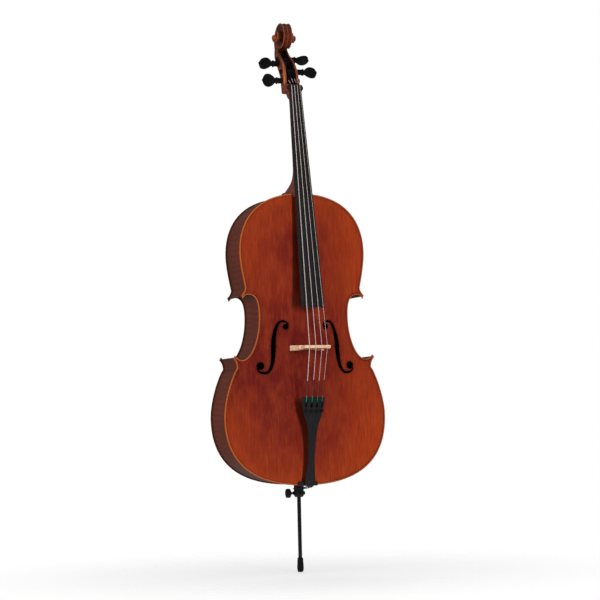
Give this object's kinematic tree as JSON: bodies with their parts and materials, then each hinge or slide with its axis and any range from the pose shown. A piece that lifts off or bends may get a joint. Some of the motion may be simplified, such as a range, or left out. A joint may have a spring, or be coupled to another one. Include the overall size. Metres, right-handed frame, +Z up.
{
  "type": "cello",
  "caption": "Bowed string instrument with a hollow arched wooden body, turning tuning pegs, fine tuners on the tailpiece and a sliding endpin locked by a thumbscrew.",
  "frame": {"origin": "centre of the rubber endpin tip's flat contact face, on the endpin axis, with the endpin as far out as it is shown", "axes": "+Z up along the instrument from the endpin to the scroll, +X to the treble side (the player-facing viewer's right), -Y is the front, where the strings and bridge are, +Y is the back"},
  "size_m": [0.4396, 0.2653, 1.4477],
  "materials": {
    "varnished_spruce": "red-brown spirit varnish over straight-grained spruce, satin gloss",
    "varnished_maple": "red-brown varnish over faintly flamed maple, satin gloss",
    "bare_wood": "unvarnished inside wood",
    "purfling": "dark inlay under varnish",
    "bridge_maple": "bare pale maple, dry",
    "ebony": "ebony, black and satin",
    "string_steel": "flat-wound steel",
    "steel": "polished steel",
    "black_metal": "black metal, satin",
    "rubber": "black rubber, matt",
    "cord": "black polymer cord"
  },
  "bodies": {
    "instrument": {"back_plate": "varnished_maple", "bass_bar": "bare_wood", "bottom_block": "bare_wood", "bridge": "bridge_maple", "corner_block_lower_bass": "bare_wood", "corner_block_lower_treble": "bare_wood", "corner_block_upper_bass": "bare_wood", "corner_block_upper_treble": "bare_wood", "endpin_collar": "black_metal", "endpin_plug": "ebony", "fine_tuner_axle": "steel", "fingerboard": "ebony", "front_plate": "varnished_spruce", "lining_back_lower_bass": "bare_wood", "lining_back_lower_treble": "bare_wood", "lining_back_upper_bass": "bare_wood", "lining_back_upper_treble": "bare_wood", "lining_back_waist_bass": "bare_wood", "lining_back_waist_treble": "bare_wood", "lining_front_lower_bass": "bare_wood", "lining_front_lower_treble": "bare_wood", "lining_front_upper_bass": "bare_wood", "lining_front_upper_treble": "bare_wood", "lining_front_waist_bass": "bare_wood", "lining_front_waist_treble": "bare_wood", "neck_scroll": "varnished_maple", "nut": "ebony", "purfling_back": "purfling", "purfling_front_bass": "purfling", "purfling_front_treble": "purfling", "rib_lower_bass": "varnished_maple", "rib_lower_treble": "varnished_maple", "rib_upper_bass": "varnished_maple", "rib_upper_treble": "varnished_maple", "rib_waist_bass": "varnished_maple", "rib_waist_treble": "varnished_maple", "saddle": "ebony", "sound_post": "bare_wood", "string_a": "string_steel", "string_c": "string_steel", "string_d": "string_steel", "string_g": "string_steel", "tail_cord": "cord", "tailpiece": "ebony", "top_block": "bare_wood"},
    "peg_c": {"peg_c": "ebony"},
    "tuner_screw_c": {"fine_tuner_screw_c": "black_metal"},
    "tuner_lever_c": {"fine_tuner_lever_c": "black_metal"},
    "peg_g": {"peg_g": "ebony"},
    "tuner_screw_g": {"fine_tuner_screw_g": "black_metal"},
    "tuner_lever_g": {"fine_tuner_lever_g": "black_metal"},
    "peg_d": {"peg_d": "ebony"},
    "tuner_screw_d": {"fine_tuner_screw_d": "black_metal"},
    "tuner_lever_d": {"fine_tuner_lever_d": "black_metal"},
    "peg_a": {"peg_a": "ebony"},
    "tuner_screw_a": {"fine_tuner_screw_a": "black_metal"},
    "tuner_lever_a": {"fine_tuner_lever_a": "black_metal"},
    "endpin": {"endpin_rod": "black_metal", "endpin_tip": "rubber"},
    "thumbscrew": {"endpin_thumbscrew": "black_metal"}
  },
  "joints": [
    {"name": "peg_c_turn", "type": "hinge", "parent": "instrument", "child": "peg_c", "pos_m": [0, -0.002, 1.2865], "axis": [-1, 0, 0], "continuous": true},
    {"name": "peg_g_turn", "type": "hinge", "parent": "instrument", "child": "peg_g", "pos_m": [0, 0.032, 1.3375], "axis": [-1, 0, 0], "continuous": true},
    {"name": "peg_d_turn", "type": "hinge", "parent": "instrument", "child": "peg_d", "pos_m": [0, 0.047, 1.352], "axis": [1, 0, 0], "continuous": true},
    {"name": "peg_a_turn", "type": "hinge", "parent": "instrument", "child": "peg_a", "pos_m": [0, 0.01, 1.313], "axis": [1, 0, 0], "continuous": true},
    {"name": "tuner_screw_c_turn", "type": "hinge", "parent": "instrument", "child": "tuner_screw_c", "pos_m": [-0.02145, -0.13031, 0.41742], "axis": [0, -0.9783, -0.2073], "range_deg": [0, 1080]},
    {"name": "tuner_screw_g_turn", "type": "hinge", "parent": "instrument", "child": "tuner_screw_g", "pos_m": [-0.00715, -0.13303, 0.41685], "axis": [0, -0.9783, -0.2073], "range_deg": [0, 1080]},
    {"name": "tuner_screw_d_turn", "type": "hinge", "parent": "instrument", "child": "tuner_screw_d", "pos_m": [0.00715, -0.13303, 0.41685], "axis": [0, -0.9783, -0.2073], "range_deg": [0, 1080]},
    {"name": "tuner_screw_a_turn", "type": "hinge", "parent": "instrument", "child": "tuner_screw_a", "pos_m": [0.02145, -0.13031, 0.41742], "axis": [0, -0.9783, -0.2073], "range_deg": [0, 1080]},
    {"name": "tuner_lever_c_swing", "type": "hinge", "parent": "instrument", "child": "tuner_lever_c", "pos_m": [-0.02145, -0.12707, 0.43651], "axis": [1, 0, 0], "range_deg": [0, 5.5]},
    {"name": "tuner_lever_g_swing", "type": "hinge", "parent": "instrument", "child": "tuner_lever_g", "pos_m": [-0.00715, -0.12707, 0.43651], "axis": [1, 0, 0], "range_deg": [0, 5.5]},
    {"name": "tuner_lever_d_swing", "type": "hinge", "parent": "instrument", "child": "tuner_lever_d", "pos_m": [0.00715, -0.12707, 0.43651], "axis": [1, 0, 0], "range_deg": [0, 5.5]},
    {"name": "tuner_lever_a_swing", "type": "hinge", "parent": "instrument", "child": "tuner_lever_a", "pos_m": [0.02145, -0.12707, 0.43651], "axis": [1, 0, 0], "range_deg": [0, 5.5]},
    {"name": "endpin_slide", "type": "slide", "parent": "instrument", "child": "endpin", "axis": [0, 0, -1], "range_m": [-0.155, 0.2]},
    {"name": "thumbscrew_turn", "type": "hinge", "parent": "instrument", "child": "thumbscrew", "pos_m": [0, 0, 0.2048], "axis": [-1, 0, 0], "range_deg": [0, 720]}
  ],
  "couplings": [
    {"joint": "tuner_lever_c_swing", "follows": "tuner_screw_c_turn", "ratio": 0.0050926},
    {"joint": "tuner_lever_g_swing", "follows": "tuner_screw_g_turn", "ratio": 0.0050926},
    {"joint": "tuner_lever_d_swing", "follows": "tuner_screw_d_turn", "ratio": 0.0050926},
    {"joint": "tuner_lever_a_swing", "follows": "tuner_screw_a_turn", "ratio": 0.0050926}
  ]
}
